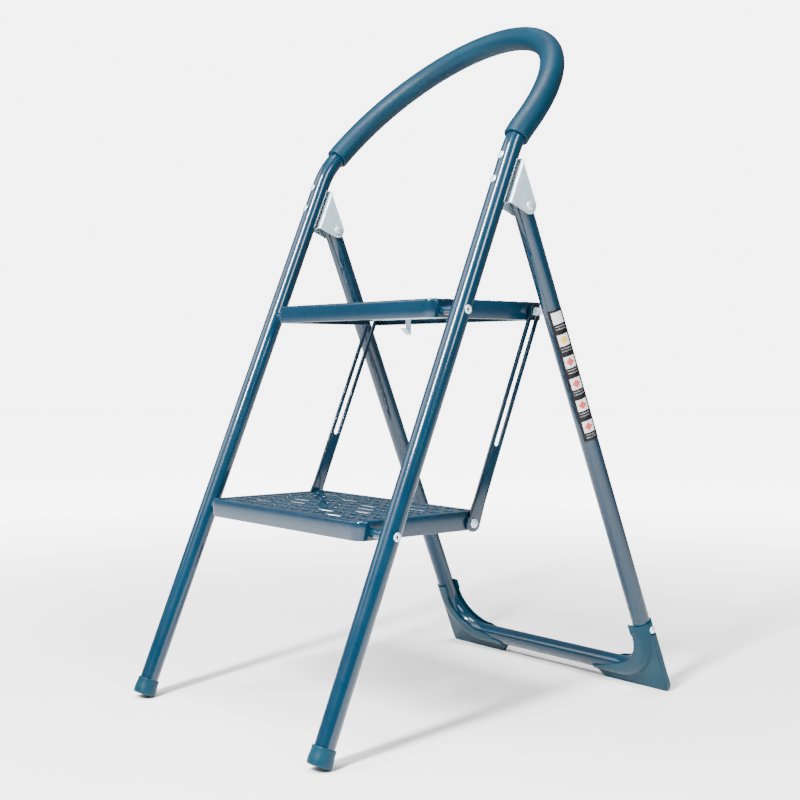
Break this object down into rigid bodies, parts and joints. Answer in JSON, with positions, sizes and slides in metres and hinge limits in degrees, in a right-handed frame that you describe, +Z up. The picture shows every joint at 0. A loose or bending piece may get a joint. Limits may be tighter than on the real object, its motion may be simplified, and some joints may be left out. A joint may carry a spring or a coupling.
{
  "type": "step stool",
  "caption": "Folding two-step stool of bent steel tube with perforated treads, a hinged U-shaped rear frame, slotted side bars and a hoop handle with a rubber grip sleeve.",
  "frame": {"origin": "middle of the stool's footprint box on the floor, z = 0 at the soles", "axes": "+Z up, -Y the front where the user climbs on, +X the user's right when facing the stool"},
  "size_m": [0.3954, 0.5317, 0.8323],
  "materials": {
    "gloss_blue_paint": "glossy powder coat",
    "grip_sleeve_blue": "soft satin foam or vinyl",
    "foot_cap_blue": "matte moulded",
    "corner_shoe_blue": "satin moulded",
    "galvanised_steel": "bright zinc plated",
    "label_black": "satin film"
  },
  "bodies": {
    "front_frame": {"front_tube": "gloss_blue_paint", "grip_sleeve": "grip_sleeve_blue", "bracket_rivet_high_left": "galvanised_steel", "bracket_rivet_high_right": "galvanised_steel", "bracket_rivet_low_left": "galvanised_steel", "bracket_rivet_low_right": "galvanised_steel", "foot_cap_left": "foot_cap_blue", "foot_cap_right": "foot_cap_blue", "hinge_bracket_left": "galvanised_steel", "hinge_bracket_right": "galvanised_steel", "hinge_pin_left": "galvanised_steel", "hinge_pin_right": "galvanised_steel", "lower_left_pivot_bush": "gloss_blue_paint", "lower_left_pivot_rivet": "galvanised_steel", "lower_right_pivot_bush": "gloss_blue_paint", "lower_right_pivot_rivet": "galvanised_steel", "upper_left_pivot_bush": "gloss_blue_paint", "upper_left_pivot_rivet": "galvanised_steel", "upper_right_pivot_bush": "gloss_blue_paint", "upper_right_pivot_rivet": "galvanised_steel"},
    "rear_frame": {"rear_tube": "gloss_blue_paint", "rest_rod": "galvanised_steel", "leg_label": "label_black", "corner_shoe_left": "corner_shoe_blue", "corner_shoe_right": "corner_shoe_blue", "rod_spacer_left": "galvanised_steel", "rod_spacer_right": "galvanised_steel", "shoe_rivet_left": "galvanised_steel", "shoe_rivet_right": "galvanised_steel"},
    "upper_step": {"upper_step": "gloss_blue_paint", "latch_clip": "galvanised_steel", "latch_pin": "galvanised_steel"},
    "latch": {"latch_hook": "galvanised_steel"},
    "lower_step": {"lower_step": "gloss_blue_paint"},
    "slot_bush_right": {"slot_bush_right": "galvanised_steel"},
    "slot_bush_left": {"slot_bush_left": "galvanised_steel"},
    "bar_right": {"slotted_bar_right": "gloss_blue_paint", "bar_rivet_right": "galvanised_steel"},
    "bar_left": {"slotted_bar_left": "gloss_blue_paint", "bar_rivet_left": "galvanised_steel"}
  },
  "joints": [
    {"name": "rear_fold", "type": "hinge", "parent": "front_frame", "child": "rear_frame", "pos_m": [0, 0.02153, 0.5775], "axis": [-1, 0, 0], "range_deg": [0, 44.65]},
    {"name": "upper_step_fold", "type": "hinge", "parent": "front_frame", "child": "upper_step", "pos_m": [0, -0.07005, 0.4595], "axis": [1, 0, 0], "range_deg": [0, 67.61]},
    {"name": "lower_step_fold", "type": "hinge", "parent": "front_frame", "child": "lower_step", "pos_m": [0, -0.16732, 0.2235], "axis": [1, 0, 0], "range_deg": [0, 67.61]},
    {"name": "slot_bush_turn_right", "type": "hinge", "parent": "rear_frame", "child": "slot_bush_right", "pos_m": [0, 0.06895, 0.46158], "axis": [1, 0, 0], "range_deg": [0, 28.1]},
    {"name": "slot_bush_turn_left", "type": "hinge", "parent": "rear_frame", "child": "slot_bush_left", "pos_m": [0, 0.06895, 0.46158], "axis": [1, 0, 0], "range_deg": [0, 28.1]},
    {"name": "bar_slide_right", "type": "slide", "parent": "slot_bush_right", "child": "bar_right", "axis": [0, 0.3782, 0.9257], "range_m": [0, 0.1166]},
    {"name": "bar_slide_left", "type": "slide", "parent": "slot_bush_left", "child": "bar_left", "axis": [0, 0.3782, 0.9257], "range_m": [0, 0.1166]},
    {"name": "latch_release", "type": "hinge", "parent": "upper_step", "child": "latch", "pos_m": [-0.0875, 0.07615, 0.46458], "axis": [1, 0, 0], "range_deg": [0, 17]}
  ],
  "couplings": [
    {"joint": "upper_step_fold", "follows": "rear_fold", "ratio": 1.514},
    {"joint": "lower_step_fold", "follows": "rear_fold", "ratio": 1.514},
    {"joint": "slot_bush_turn_right", "follows": "rear_fold", "ratio": 0.62905},
    {"joint": "slot_bush_turn_left", "follows": "rear_fold", "ratio": 0.62905},
    {"joint": "bar_slide_right", "follows": "rear_fold", "m_per_rad": 0.14944},
    {"joint": "bar_slide_left", "follows": "rear_fold", "m_per_rad": 0.14944}
  ]
}
